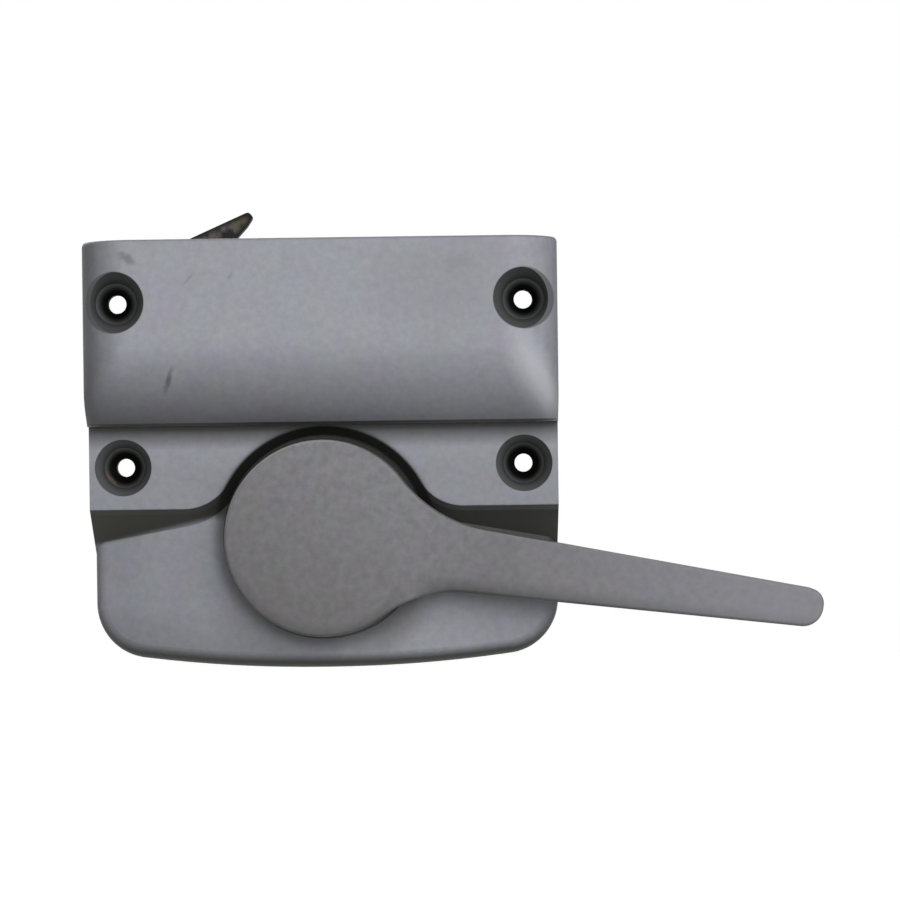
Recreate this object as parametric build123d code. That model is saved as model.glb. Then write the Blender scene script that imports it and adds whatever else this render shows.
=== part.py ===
"""Casement sash lock: a die-cast housing, a lever that turns on it and a hook that swings out of its top.

Sizes are millimetres. The origin is the middle of the four screw holes on the mounting plane. X runs to the
right, Z up and the lock's front faces -Y, so a height above the mounting plane is a distance along -Y.
"""

import os
from math import asin, cos, degrees, hypot, radians, sin, sqrt, tan

from build123d import *

# Overall form of the housing, in plan
HOUSING_WIDTH = 69.6
TOP_Z = 21.1
BOTTOM_Z = -42.2
BOTTOM_SWEEP_R = 240.0
LOWER_CORNER_R = 8.2
UPPER_CORNER_R = 0.8
BACK_EDGE_R = 0.3
WALL = 2.4

# Upper block: a pillow whose lower side and two ends roll back
FRONT_H = 21.0
ROLL_START_Z = 7.5
CREASE_Z = -5.9
CREASE_DROP = 6.1
CREASE_H = FRONT_H - CREASE_DROP
END_ROLL_RUN = 7.5
END_ROLL_TURN_DEG = 67.4
END_ROLL_DROP = END_ROLL_RUN * tan(radians(END_ROLL_TURN_DEG / 2))
BLOCK_EDGE_R = 0.7
MITRE_LAND = 3.9
MITRE_R = END_ROLL_RUN - MITRE_LAND

# Middle band, its sloped step and the arch that clears the hub
BAND_H = 11.0
BAND_EDGE_Z = -18.2
STEP_SLOPE_DEG = 44.0
STEP_FOOT_H = 2.0
STEP_BROW_R = 0.4
ARCH_R = 16.4
ARCH_BLEND_R = 7.5
BAND_OVERLAP = 4.0

# Lower panel: flat in the middle, falling away to both sides
PANEL_MIDDLE_H = 9.4
PANEL_EDGE_H = 5.6
PANEL_FLAT_X = 14.4
PANEL_BEND_R = 80.0
PANEL_EDGE_R = 2.2

# Screws: a tapering mouth, a cone for the head, a short narrow hole and a wider core behind it
HOLE_EDGE_X = 5.05
HOLE_SPACING_X = HOUSING_WIDTH - 2 * HOLE_EDGE_X
HOLE_SPACING_Z = 24.0
SCREW_HOLE_R = 1.35
BORE_SEAT_R = 3.0
BORE_MOUTH_R = 4.2
BORE_DEPTH = 3.4
UPPER_MOUTH_R = 4.45
UPPER_MOUTH_SINK = 0.4
UPPER_MOUTH_H = FRONT_H - UPPER_MOUTH_SINK
UPPER_BORE_DEPTH = 5.0
SEAT_DEPTH = 1.1
SEAT_LAND = 1.4
SCREW_CORE_R = 3.7
SCREW_BOSS_R = 5.2

# Handle
HUB_Z = -22.6
HUB_R = 14.4
HUB_SEAT_H = 8.6
HUB_POCKET_R = 15.2
HUB_BACK_H = 9.0
HANDLE_FRONT_H = 18.0
ARM_BACK_H = 12.0
ARM_TIP_BACK_H = 13.4
ARM_ANGLE_DEG = -8.64
ARM_OFFSET = -0.27
ARM_LENGTH = 73.8
ARM_ROOT_HALF = 5.6
ARM_TIP_HALF = 2.74
ARM_TIP_UPPER_R = 2.2
ARM_TIP_LOWER_R = 3.0
ARM_UPPER_BLEND_R = 20.0
ARM_LOWER_BLEND_R = 17.0
HANDLE_EDGE_R = 0.5
SPRING_RECESS_R = 10.4
SPRING_RECESS_DEPTH = 1.2

# Bearing of the handle's post and the square end that drives the crank
POST_R = 5.0
POST_CLEARANCE = 0.05
BEARING_END_H = 5.8
BEARING_BOSS_R = 8.8
SQUARE_SIZE = 6.0
STAKED_HEAD_R = 4.4
STAKED_HEAD_H = 1.0

# Levels of the mechanism above the mounting plane
PLATE_BACK_H = 2.9
PLATE_FRONT_H = 5.1
LINK_BACK_H = 1.2
LINK_FRONT_H = 2.8
RUNNING_GAP = 0.05

# Linkage: crank, link and hook are a parallelogram
CRANK_R = 10.0
CRANK_REST_DEG = 30.0
CRANK_THROW_DEG = 70.0
CRANK_HUB_SHARE = 0.7
CRANK_HUB_R = CRANK_HUB_SHARE * CRANK_R
CRANK_EYE_R = 3.8
LINK_HALF_WIDTH = 2.8
RIVET_R = 1.6
RIVET_HEAD_R = 2.9
RIVET_HEAD_H = 0.75
HEAD_ROUND = 0.8
STOP_R = 1.5
STOP_GAP = 0.3
STOP_BACK_H = 3.1

# Hook and its pivot
PIVOT_Z = HOLE_SPACING_Z / 2
PIVOT_PIN_R = 3.0
PIVOT_TAIL_R = 2.2
PIVOT_TAIL_DEPTH = 7.0
PIVOT_HEAD_R = 4.5
PIVOT_HEAD_H = 1.1
PIVOT_BOSS_R = 5.6
PIVOT_BOSS_END_H = 5.6
HOOK_BOSS_R = 6.0
HOOK_EYE_R = 3.5
HOOK_NOSE = (-10.4, 25.55)
HOOK_NOSE_TOP = (-11.15, 26.3)
HOOK_NOSE_UNDER = (-11.34, 24.1)
HOOK_NOSE_R = 0.6
HOOK_HEEL = (-22.4, 21.3)
HOOK_HEEL_R = 2.2
HOOK_BELLY = (-16.6, 10.4)
HOOK_THROAT = (-11.0, 19.7)
HOOK_THROAT_R = 3.2
NOTCH_HALF = 24.0
NOTCH_H = 5.9
STAMPED_EDGE_R = 0.3

# Washers
THRUST_WASHER_R = 8.0
HOOK_WASHER_R = 5.5
SPRING_WASHER_R = 9.8
SPRING_WASHER_BORE_R = 5.3
SPRING_WASHER_THICK = 0.5

# How far a cut runs past a face, and how near counts as touching
BEYOND = 1.0
NEAR = 0.01

HALF_WIDTH = HOUSING_WIDTH / 2
HUB = (0.0, HUB_Z)
PIVOT = (0.0, PIVOT_Z)
CRANK_PIN = (CRANK_R * cos(radians(CRANK_REST_DEG)), HUB_Z + CRANK_R * sin(radians(CRANK_REST_DEG)))
HOOK_PIN = (CRANK_PIN[0], CRANK_PIN[1] + PIVOT_Z - HUB_Z)


def slab(sketch, back, front):
    """A sketch in X and Z made solid between two heights."""
    return extrude(Plane.XZ.offset(back) * sketch, front - back)


def disc(centre, radius, back, front):
    """A cylinder about an axis square to the mounting plane."""
    return slab(Pos(*centre) * Circle(radius), back, front)


def ring(centre, radius, bore, back, front):
    """A flat washer square to the mounting plane."""
    return disc(centre, radius, back, front) - disc(centre, bore, back - BEYOND, front + BEYOND)


def turned(centre, profile):
    """A solid of revolution from (radius, height) points about an axis square to the mounting plane."""
    points = [(radius, -height) for radius, height in profile]
    face = make_face(Polyline(*points, close=True))
    return Pos(centre[0], 0, centre[1]) * revolve(face, Axis.Y)


def stamped(sketch, back, front):
    """A plate whose back outline is rolled over, as a press leaves it."""
    plate = slab(sketch, back, front)
    outline = plate.faces().sort_by(Axis.Y)[-1].outer_wire().edges()
    return fillet(outline, STAMPED_EDGE_R)


def headed(centre, profile, radius):
    """A turned pin whose head, at its back end, is rounded over."""
    pin = turned(centre, profile)
    rim = pin.edges().sort_by(Axis.Y)[-1]
    return fillet(rim, radius)


def capsule(first, first_r, second, second_r):
    """Two round ends joined by their outer tangents."""
    run_x = second[0] - first[0]
    run_z = second[1] - first[1]
    length = hypot(run_x, run_z)
    along = (run_x / length, run_z / length)
    lean = (first_r - second_r) / length
    rise = sqrt(1 - lean * lean)
    left = (along[0] * lean - along[1] * rise, along[1] * lean + along[0] * rise)
    right = (along[0] * lean + along[1] * rise, along[1] * lean - along[0] * rise)
    points = [
        (first[0] + first_r * left[0], first[1] + first_r * left[1]),
        (second[0] + second_r * left[0], second[1] + second_r * left[1]),
        (second[0] + second_r * right[0], second[1] + second_r * right[1]),
        (first[0] + first_r * right[0], first[1] + first_r * right[1]),
    ]
    web = make_face(Polyline(*points, close=True))
    return Pos(*first) * Circle(first_r) + Pos(*second) * Circle(second_r) + web


def corners_at(face, points):
    """The corners of a face that lie at the given points."""
    return [v for v in face.vertices() if any(hypot(v.X - x, v.Y - z) < NEAR for x, z in points)]


def plan(inset):
    """Outline of the housing, moved in by a wall thickness."""
    half = HALF_WIDTH - inset
    sweep_r = BOTTOM_SWEEP_R - inset
    low = BOTTOM_Z + inset
    corner = low + sweep_r - sqrt(sweep_r**2 - half**2)
    top = TOP_Z - inset
    sides = Polyline((-half, corner), (-half, top), (half, top), (half, corner))
    sweep = ThreePointArc((half, corner), (0, low), (-half, corner))
    face = make_face(sides + sweep)
    lower = face.vertices().sort_by(Axis.Y)[:2]
    face = fillet(lower, LOWER_CORNER_R - inset)
    upper = face.vertices().sort_by(Axis.Y)[-2:]
    return fillet(upper, UPPER_CORNER_R)


def roll_radius(run, drop):
    """Radius of an arc that starts level and falls by drop over run."""
    return (run**2 + drop**2) / (2 * drop)


def upper_block(inset):
    """Pillow with a rolled lower side and rolled ends, moved in by a wall thickness."""
    front = FRONT_H - inset
    half = HALF_WIDTH - inset
    top = TOP_Z - inset
    low = CREASE_Z + inset

    side_r = roll_radius(ROLL_START_Z - CREASE_Z, CREASE_DROP)
    end_r = roll_radius(END_ROLL_RUN, END_ROLL_DROP)

    def side_h(run):
        return FRONT_H - side_r + sqrt((side_r - inset) ** 2 - run**2)

    def end_h(run):
        return FRONT_H - end_r + sqrt((end_r - inset) ** 2 - run**2)

    run = ROLL_START_Z - low
    roll_foot = (-side_h(run), low)
    roll_head = (-front, ROLL_START_Z)
    side = Polyline(roll_foot, (0, low), (0, top), (-front, top), roll_head)
    side += ThreePointArc(roll_head, (-side_h(run / 2), ROLL_START_Z - run / 2), roll_foot)
    lengthwise = extrude(Plane.YZ * make_face(side), half, both=True)

    flat = HALF_WIDTH - END_ROLL_RUN
    run = half - flat
    end = Polyline((-half, -end_h(run)), (-half, 0), (half, 0), (half, -end_h(run)))
    end += ThreePointArc((half, -end_h(run)), (flat + run / 2, -end_h(run / 2)), (flat, -front))
    end += Line((flat, -front), (-flat, -front))
    end += ThreePointArc((-flat, -front), (-flat - run / 2, -end_h(run / 2)), (-half, -end_h(run)))
    crosswise = extrude(Plane.XY.offset(low) * make_face(end), top - low)
    return lengthwise & crosswise


def band_face(inset):
    """Face of the middle band: a strip with the hub's arch cut out of it and the corners eased."""
    half = HALF_WIDTH + BAND_OVERLAP
    low = BAND_EDGE_Z + inset
    top = CREASE_Z + BAND_OVERLAP
    strip = make_face(Polyline((-half, low), (half, low), (half, top), (-half, top), close=True))
    face = strip - Pos(*HUB) * Circle(ARCH_R + inset)
    reach = sqrt((ARCH_R + inset) ** 2 - (low - HUB_Z) ** 2)
    corners = [v for v in face.vertices() if abs(abs(v.X) - reach) < NEAR and abs(v.Y - low) < NEAR]
    return fillet(corners, ARCH_BLEND_R - inset)


def panel_solid():
    """Lower panel: level beside the hub, falling to both sides, with a rolled outer edge."""
    points = [
        (-HALF_WIDTH, 0),
        (-HALF_WIDTH, -PANEL_EDGE_H),
        (-PANEL_FLAT_X, -PANEL_MIDDLE_H),
        (PANEL_FLAT_X, -PANEL_MIDDLE_H),
        (HALF_WIDTH, -PANEL_EDGE_H),
        (HALF_WIDTH, 0),
    ]
    outline = make_face(Polyline(*points, close=True))
    outline = fillet(corners_at(outline, points[2:4]), PANEL_BEND_R)
    roof = extrude(Plane.XY.offset(BOTTOM_Z) * outline, CREASE_Z - BOTTOM_Z)
    body = slab(plan(0), 0, FRONT_H) & roof
    rim = [e for e in body.edges() if is_panel_rim(e)]
    return fillet(rim, PANEL_EDGE_R)


def is_panel_rim(edge):
    """True for the outer front edges of the lower panel, up to where the band covers it."""
    middle = edge @ 0.5
    level = (edge @ 0).Y < -BEYOND and (edge @ 1).Y < -BEYOND
    inside = abs(middle.X) < HALF_WIDTH - NEAR and middle.Z > BOTTOM_Z + LOWER_CORNER_R
    across = min((edge @ 0).Z, (edge @ 1).Z) > CREASE_Z - NEAR
    return level and not inside and not across


def is_step_brow(edge):
    """True for the upper edge of the step, along the arch and the straights."""
    level = abs((edge @ 0).Y + BAND_H) < NEAR and abs((edge @ 1).Y + BAND_H) < NEAR
    middle = edge @ 0.5
    return level and middle.Z < CREASE_Z + BEYOND and abs(middle.X) < HALF_WIDTH + BAND_OVERLAP - NEAR


def is_mitre(edge):
    """True for the two slanting edges where the rolled lower side meets the rolled ends."""
    run = edge @ 1 - edge @ 0
    return abs(run.X) > NEAR and abs(run.Z) > NEAR


def is_block_rim(edge):
    """True for the upper block's outer edges: along the top, down both ends and along the crease."""
    middle = edge @ 0.5
    forward = (edge @ 0).Y < -BAND_H and (edge @ 1).Y < -BAND_H
    end = abs(abs(middle.X) - HALF_WIDTH) < NEAR
    long_side = abs(middle.Z - TOP_Z) < NEAR or abs(middle.Z - CREASE_Z) < NEAR
    return forward and (end or long_side)


def cavity_solid():
    """Hollow behind the front, before bosses are left standing in it."""
    inner_half = HALF_WIDTH - WALL
    upper = upper_block(WALL)
    band = slab(band_face(WALL / 2), -BEYOND, BAND_H - WALL)
    fall = (PANEL_MIDDLE_H - PANEL_EDGE_H) / (HALF_WIDTH - PANEL_FLAT_X)
    ceiling = HUB_SEAT_H - WALL
    edge = PANEL_EDGE_H - WALL + fall * WALL
    flat = inner_half - (ceiling - edge) / fall
    points = [
        (-inner_half, BEYOND),
        (-inner_half, -edge),
        (-flat, -ceiling),
        (flat, -ceiling),
        (inner_half, -edge),
        (inner_half, BEYOND),
    ]
    section = Plane.XY.offset(BOTTOM_Z) * make_face(Polyline(*points, close=True))
    roof = extrude(section, CREASE_Z + WALL - BOTTOM_Z)
    back = slab(plan(WALL), -BEYOND, 0)
    return (upper + band + roof + back) & slab(plan(WALL), -BEYOND, FRONT_H)


def polar(centre, radius, angle):
    """A point at an angle about a centre."""
    return (centre[0] + radius * cos(radians(angle)), centre[1] + radius * sin(radians(angle)))


def stop_centres():
    """Cast pips that the crank comes up against at both ends of its throw."""
    reach = CRANK_HUB_R + STOP_R + STOP_GAP
    lead = degrees(asin(reach / CRANK_R) - asin((CRANK_HUB_R - CRANK_EYE_R) / CRANK_R))
    rest = polar(HUB, CRANK_R, CRANK_REST_DEG + lead)
    end = polar(HUB, CRANK_R, CRANK_REST_DEG - CRANK_THROW_DEG - lead)
    return [rest, end]


def screw_bore(centre, front, mouth_r, depth):
    """Tapering mouth with a seat for the screw's head, the hole below it and the core behind."""
    clear = FRONT_H + BEYOND
    seat = front - depth
    land = seat - SEAT_LAND
    mouth = [
        (0, seat),
        (SCREW_HOLE_R, seat),
        (BORE_SEAT_R, seat + SEAT_DEPTH),
        (mouth_r, front),
        (mouth_r, clear),
        (0, clear),
    ]
    hole = disc(centre, SCREW_HOLE_R, land - BEYOND, seat + BEYOND)
    return turned(centre, mouth) + hole + disc(centre, SCREW_CORE_R, -BEYOND, land)


def make_housing():
    """Die-cast housing, open at the back."""
    band_top = Plane.XZ.offset(BAND_H) * band_face(0)
    depth = BAND_H - STEP_FOOT_H
    band = extrude(band_top, depth, dir=(0, 1, 0), taper=-STEP_SLOPE_DEG)
    brow = [e for e in band.edges() if is_step_brow(e)]
    band = fillet(brow, STEP_BROW_R)
    pillow = upper_block(0)
    pillow = fillet([e for e in pillow.edges() if is_mitre(e)], MITRE_R)
    block = pillow & slab(plan(0), 0, FRONT_H)
    rim = [e for e in block.edges() if is_block_rim(e)]
    block = fillet(rim, BLOCK_EDGE_R)
    outer = panel_solid() + (band & slab(plan(0), 0, FRONT_H)) + block
    outer = fillet(outer.faces().sort_by(Axis.Y)[-1].outer_wire().edges(), BACK_EDGE_R)
    outer -= disc(HUB, HUB_POCKET_R, HUB_SEAT_H, FRONT_H)

    side_x = HOLE_SPACING_X / 2
    side_z = HOLE_SPACING_Z / 2
    upper_holes = [(-side_x, side_z), (side_x, side_z)]
    lower_holes = [(-side_x, -side_z), (side_x, -side_z)]

    cavity = cavity_solid()
    for centre in upper_holes + lower_holes:
        cavity -= disc(centre, SCREW_BOSS_R, -BEYOND, FRONT_H)
    cavity -= disc(HUB, BEARING_BOSS_R, BEARING_END_H, FRONT_H)
    cavity -= disc(PIVOT, PIVOT_BOSS_R, PIVOT_BOSS_END_H, FRONT_H)
    for centre in stop_centres():
        cavity -= disc(centre, STOP_R, STOP_BACK_H, FRONT_H)
    body = outer - cavity

    for centre in upper_holes:
        body -= screw_bore(centre, UPPER_MOUTH_H, UPPER_MOUTH_R, UPPER_BORE_DEPTH)
    for centre in lower_holes:
        body -= screw_bore(centre, BAND_H, BORE_MOUTH_R, BORE_DEPTH)
    body -= disc(HUB, POST_R + POST_CLEARANCE, BEARING_END_H - BEYOND, HUB_SEAT_H + BEYOND)
    body -= disc(PIVOT, PIVOT_TAIL_R, PIVOT_BOSS_END_H - BEYOND, PIVOT_BOSS_END_H + PIVOT_TAIL_DEPTH)
    notch_z = TOP_Z - WALL / 2
    notch = Pos(0, notch_z) * Rectangle(2 * NOTCH_HALF, 2 * WALL)
    return body - slab(notch, -BEYOND, NOTCH_H)


def handle_plan():
    """Hub and tapering arm, drawn with the arm along X from the hub's centre."""
    upper_root = (0, ARM_OFFSET + ARM_ROOT_HALF)
    lower_root = (0, ARM_OFFSET - ARM_ROOT_HALF)
    upper_tip = (ARM_LENGTH, ARM_OFFSET + ARM_TIP_HALF)
    lower_tip = (ARM_LENGTH, ARM_OFFSET - ARM_TIP_HALF)
    face = make_face(Polyline(upper_root, upper_tip, lower_tip, lower_root, close=True)) + Circle(HUB_R)
    root = [v for v in face.vertices() if is_arm_root(v)]
    face = fillet([v for v in root if v.Y > 0], ARM_UPPER_BLEND_R)
    root = [v for v in face.vertices() if is_arm_root(v)]
    face = fillet([v for v in root if lower_root[1] < v.Y < 0], ARM_LOWER_BLEND_R)
    face = fillet(corners_at(face, [upper_tip]), ARM_TIP_UPPER_R)
    return fillet(corners_at(face, [lower_tip]), ARM_TIP_LOWER_R)


def is_arm_root(corner):
    """True where an edge of the arm runs into the hub's rim."""
    return abs(hypot(corner.X, corner.Y) - HUB_R) < NEAR and corner.X > 0 and abs(corner.Y) > ARM_TIP_HALF


def square_section():
    """Square of the post that the crank fits on, in line with the crank."""
    return Pos(*HUB) * Rot(0, 0, CRANK_REST_DEG) * Rectangle(SQUARE_SIZE, SQUARE_SIZE)


def make_handle():
    """Die-cast lever with its post, square and staked end in one piece."""
    face = Pos(*HUB) * Rot(0, 0, ARM_ANGLE_DEG) * handle_plan()
    lever = slab(face, HUB_BACK_H, HANDLE_FRONT_H)
    front = NEAR - HANDLE_FRONT_H
    rim = [e for e in lever.edges() if (e @ 0).Y < front and (e @ 1).Y < front]
    lever = fillet(rim, HANDLE_EDGE_R)

    slope = (ARM_TIP_BACK_H - ARM_BACK_H) / (ARM_LENGTH - HUB_R)
    far = ARM_LENGTH + HUB_R
    under = [
        (0, -HUB_BACK_H + BEYOND),
        (far, -HUB_BACK_H + BEYOND),
        (far, -ARM_BACK_H - slope * (far - HUB_R)),
        (HUB_R, -ARM_BACK_H),
        (0, -ARM_BACK_H),
    ]
    relief = extrude(Plane.XY * make_face(Polyline(*under, close=True)), HUB_R, both=True)
    relief = Pos(0, 0, HUB_Z) * Rot(0, -ARM_ANGLE_DEG, 0) * relief
    relief -= disc(HUB, HUB_R, 0, HANDLE_FRONT_H)
    lever -= relief
    lever -= ring(HUB, SPRING_RECESS_R, POST_R, HUB_BACK_H - BEYOND, HUB_BACK_H + SPRING_RECESS_DEPTH)

    post = disc(HUB, POST_R, PLATE_FRONT_H, HUB_BACK_H + SPRING_RECESS_DEPTH + BEYOND)
    square = slab(square_section(), PLATE_BACK_H, PLATE_FRONT_H)
    head_back = PLATE_BACK_H - STAKED_HEAD_H
    profile = [(0, head_back), (STAKED_HEAD_R, head_back), (STAKED_HEAD_R, PLATE_BACK_H), (0, PLATE_BACK_H)]
    head = headed(HUB, profile, HEAD_ROUND * STAKED_HEAD_H)
    return lever + post + square + head


def make_crank():
    """Stamped crank on the post's square end."""
    arm = capsule(HUB, CRANK_HUB_R, CRANK_PIN, CRANK_EYE_R)
    arm -= square_section() + Pos(*CRANK_PIN) * Circle(RIVET_R)
    return stamped(arm, PLATE_BACK_H, PLATE_FRONT_H)


def make_link():
    """Stamped link from the crank to the hook."""
    bar = capsule(CRANK_PIN, LINK_HALF_WIDTH, HOOK_PIN, LINK_HALF_WIDTH)
    for pin in (CRANK_PIN, HOOK_PIN):
        bar -= Pos(*pin) * Circle(RIVET_R + RUNNING_GAP)
    return stamped(bar, LINK_BACK_H, LINK_FRONT_H)


def make_rivet(centre):
    """Shouldered rivet: its head holds the link, its shank is flush in the plate."""
    head_top = LINK_BACK_H - RUNNING_GAP
    head_back = head_top - RIVET_HEAD_H
    profile = [
        (0, head_back),
        (RIVET_HEAD_R, head_back),
        (RIVET_HEAD_R, head_top),
        (RIVET_R, head_top),
        (RIVET_R, PLATE_FRONT_H),
        (0, PLATE_FRONT_H),
    ]
    return headed(centre, profile, HEAD_ROUND * RIVET_HEAD_H)


def make_hook():
    """Stamped hook: pivot boss, drive eye and the beak that draws the sash in."""
    outline = Polyline(PIVOT, HOOK_NOSE_UNDER, HOOK_NOSE, HOOK_NOSE_TOP, HOOK_HEEL)
    outline += ThreePointArc(HOOK_HEEL, HOOK_BELLY, (PIVOT[0], PIVOT[1] - HOOK_BOSS_R))
    outline += Line((PIVOT[0], PIVOT[1] - HOOK_BOSS_R), PIVOT)
    beak = make_face(outline)
    beak = fillet(corners_at(beak, [HOOK_HEEL]), HOOK_HEEL_R)
    beak = fillet(corners_at(beak, [HOOK_NOSE, HOOK_NOSE_TOP]), HOOK_NOSE_R)

    run_x = HOOK_NOSE_UNDER[0] - HOOK_THROAT[0]
    run_z = HOOK_NOSE_UNDER[1] - HOOK_THROAT[1]
    reach = hypot(run_x, run_z)
    swing = asin(HOOK_THROAT_R / reach)
    heading = (run_x / reach, run_z / reach)
    touch = sqrt(reach**2 - HOOK_THROAT_R**2)
    along_x = heading[0] * cos(swing) + heading[1] * sin(swing)
    along_z = heading[1] * cos(swing) - heading[0] * sin(swing)
    along = (along_x, along_z)
    tangent = (HOOK_NOSE_UNDER[0] - along[0] * touch, HOOK_NOSE_UNDER[1] - along[1] * touch)
    opening = [
        HOOK_THROAT,
        tangent,
        (HOOK_NOSE_UNDER[0] + along[0] * HOOK_BOSS_R, HOOK_NOSE_UNDER[1] + along[1] * HOOK_BOSS_R),
        (PIVOT[0], PIVOT[1] + 2 * HOOK_BOSS_R),
        (PIVOT[0], PIVOT[1] + HOOK_BOSS_R - BEYOND),
        (HOOK_THROAT[0], HOOK_THROAT[1] - HOOK_THROAT_R),
    ]
    throat = make_face(Polyline(*opening, close=True)) + Pos(*HOOK_THROAT) * Circle(HOOK_THROAT_R)
    plate = (beak - throat) + capsule(PIVOT, HOOK_BOSS_R, HOOK_PIN, HOOK_EYE_R)
    plate -= Pos(*PIVOT) * Circle(PIVOT_PIN_R + RUNNING_GAP)
    plate -= Pos(*HOOK_PIN) * Circle(RIVET_R)
    return stamped(plate, PLATE_BACK_H, PLATE_FRONT_H)


def make_pivot_pin():
    """Shouldered pin pressed into the housing's boss, headed behind the hook."""
    head_top = PLATE_BACK_H - RUNNING_GAP
    head_back = head_top - PIVOT_HEAD_H
    tail_end = PIVOT_BOSS_END_H + PIVOT_TAIL_DEPTH - BEYOND
    profile = [
        (0, head_back),
        (PIVOT_HEAD_R, head_back),
        (PIVOT_HEAD_R, head_top),
        (PIVOT_PIN_R, head_top),
        (PIVOT_PIN_R, PIVOT_BOSS_END_H),
        (PIVOT_TAIL_R, PIVOT_BOSS_END_H),
        (PIVOT_TAIL_R, tail_end),
        (0, tail_end),
    ]
    return headed(PIVOT, profile, HEAD_ROUND * PIVOT_HEAD_H)


def make_spring_washer():
    """Conical washer that keeps the hub from rattling on its seat."""
    seat = HUB_SEAT_H + RUNNING_GAP
    roof = HUB_BACK_H + SPRING_RECESS_DEPTH
    return turned(
        HUB,
        [
            (SPRING_WASHER_R, seat),
            (SPRING_WASHER_R, seat + SPRING_WASHER_THICK),
            (SPRING_WASHER_BORE_R, roof),
            (SPRING_WASHER_BORE_R, roof - SPRING_WASHER_THICK),
        ],
    )


def main():
    """Write every piece as its own file."""
    post_bore = POST_R + POST_CLEARANCE
    pin_bore = PIVOT_PIN_R + RUNNING_GAP
    thrust_back = PLATE_FRONT_H
    thrust_front = BEARING_END_H - RUNNING_GAP
    pieces = {
        "housing": make_housing(),
        "handle": make_handle(),
        "spring_washer": make_spring_washer(),
        "thrust_washer": ring(HUB, THRUST_WASHER_R, post_bore, thrust_back, thrust_front),
        "crank": make_crank(),
        "crank_rivet": make_rivet(CRANK_PIN),
        "link": make_link(),
        "hook": make_hook(),
        "hook_rivet": make_rivet(HOOK_PIN),
        "pivot_pin": make_pivot_pin(),
        "hook_washer": ring(PIVOT, HOOK_WASHER_R, pin_bore, PLATE_FRONT_H + RUNNING_GAP, PIVOT_BOSS_END_H),
    }
    os.makedirs("parts", exist_ok=True)
    for name, shape in pieces.items():
        export_step(shape, f"parts/{name}.step")


main()
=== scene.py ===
"""Looks of a casement sash lock: satin paint on the castings, a browned hook and a white stage.

The lock is fixed upright: X runs to the right, Z up, and the front faces -Y. All sizes are metres.
"""

import math

import bpy
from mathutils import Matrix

bl_info = {
    "name": "Casement sash lock",
    "version": (1, 0, 0),
    "blender": (4, 5, 0),
    "location": "View3D > Sidebar > Sash lock",
    "description": "Paints a casement sash lock and sets it on a white stage",
    "category": "Object",
}

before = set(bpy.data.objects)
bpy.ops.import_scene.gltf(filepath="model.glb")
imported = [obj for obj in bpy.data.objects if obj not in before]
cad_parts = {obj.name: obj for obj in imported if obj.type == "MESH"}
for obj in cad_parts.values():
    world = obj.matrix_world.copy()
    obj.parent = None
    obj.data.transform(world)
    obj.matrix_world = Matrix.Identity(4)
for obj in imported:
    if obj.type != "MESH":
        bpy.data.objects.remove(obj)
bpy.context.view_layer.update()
PLATED_NODES = (
    "spring_washer",
    "thrust_washer",
    "crank",
    "crank_rivet",
    "link",
    "hook_rivet",
    "pivot_pin",
    "hook_washer",
)

# Colours of painted shade: the general one, and those on the step, in the gap over the hub, and in the
# mouths and seats of the screw holes
PAINTED_SHADE = (0.028, 0.028, 0.024)
STEP_SHADE_TONE = (0.024, 0.0235, 0.019)
GAP_SHADE_TONE = (0.008, 0.008, 0.007)
MOUTH_SHADE_TONE = (0.12, 0.122, 0.127)
BORE_SHADE_TONE = (0.004, 0.004, 0.0035)

# Upper block: where painted shade starts and is darkest on its roll and its left end, and how dark it is
BLOCK_FOOT_Y = -0.0128
BLOCK_FOOT_Z = -0.0055
ROLL_SHADE_Z = (0.0054, -0.0058)
ROLL_SHADE = 0.54
ROLL_SHADE_X = (-0.03, 0.02)
ROLL_SHADE_ACROSS = (1.4, 0.8)
ROLL_CORNER = (0.0346, -0.0059)
ROLL_CORNER_FALL = 0.8
ROLL_CORNER_SPAN = (-0.0015, 0.0015)
END_SHADE_X = (-0.0285, -0.0335)
END_SHADE_Z = (-0.006, 0.004)
END_SHADE_SHARE = (0.3, 1.0)
END_SHADE = 0.38

# Painted shade in the crease under the block, and on the band below it
CREASE_SHADE_Z = (-0.0095, -0.0065)
CREASE_SHADE = 0.88
BAND_SHADE_Z = (-0.006, -0.013)
BAND_END_Z = (-0.0185, -0.0205)
BAND_SHADE = 0.22

# Lower panel: painted shade on its left side, at its foot and on the rim that turns under
PANEL_TOP_Z = -0.02
PANEL_SHADE_X = (-0.017, -0.03)
PANEL_SHADE = 0.25
PANEL_FOOT_Z = (-0.0325, -0.0395)
PANEL_FOOT_X = (0.0, 0.02)
PANEL_FOOT_SHARE = (1.0, 0.2)
PANEL_FOOT_SHADE = 0.34
PANEL_RIM_Z = -0.028
PANEL_EDGE_FACING = (-0.02, -0.6)
PANEL_EDGE_SHADE = 0.95

# Sloped step: which faces belong to it, where its painted shade ends at the foot, and less shade on the
# right
STEP_SLOPE = (-0.93, -0.82)
STEP_FORWARD = (-0.5, -0.4)
STEP_SHADE = 0.95
STEP_FOOT = (-0.0011, -0.0003)
STEP_X = (0.0, 0.02)
STEP_SHARE = (1.0, 0.9)

# Painted shade in the trough along the foot of the step, which falls away to both sides and faster on the
# right
FRONT_FACING = -0.5
TROUGH_X = 0.0144
TROUGH_Z = -0.0182
TROUGH_FALL = 0.225
TROUGH_RIGHT_FALL = 0.2
TROUGH_DEPTH = (-0.0012, -0.0002)
TROUGH_FRONT_Y = -0.0102
TROUGH_SHADE = 0.93

# Painted shade in the gap over the hub, and a ring of painted shadow round it: outer and inner radius,
# height, darkness
HUB_CENTRE = (0.0, 0.0, -0.0226)
ARCH_GAP = (0.0169, 0.0163)
ARCH_FOOT_Z = (-0.0202, -0.0186)
GAP_FACING = 0.3
HUB_RING = (0.0176, 0.0152)
HUB_RING_Z = (-0.024, -0.0195)
HUB_RING_SHADE = (0.5, 0.8)
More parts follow.
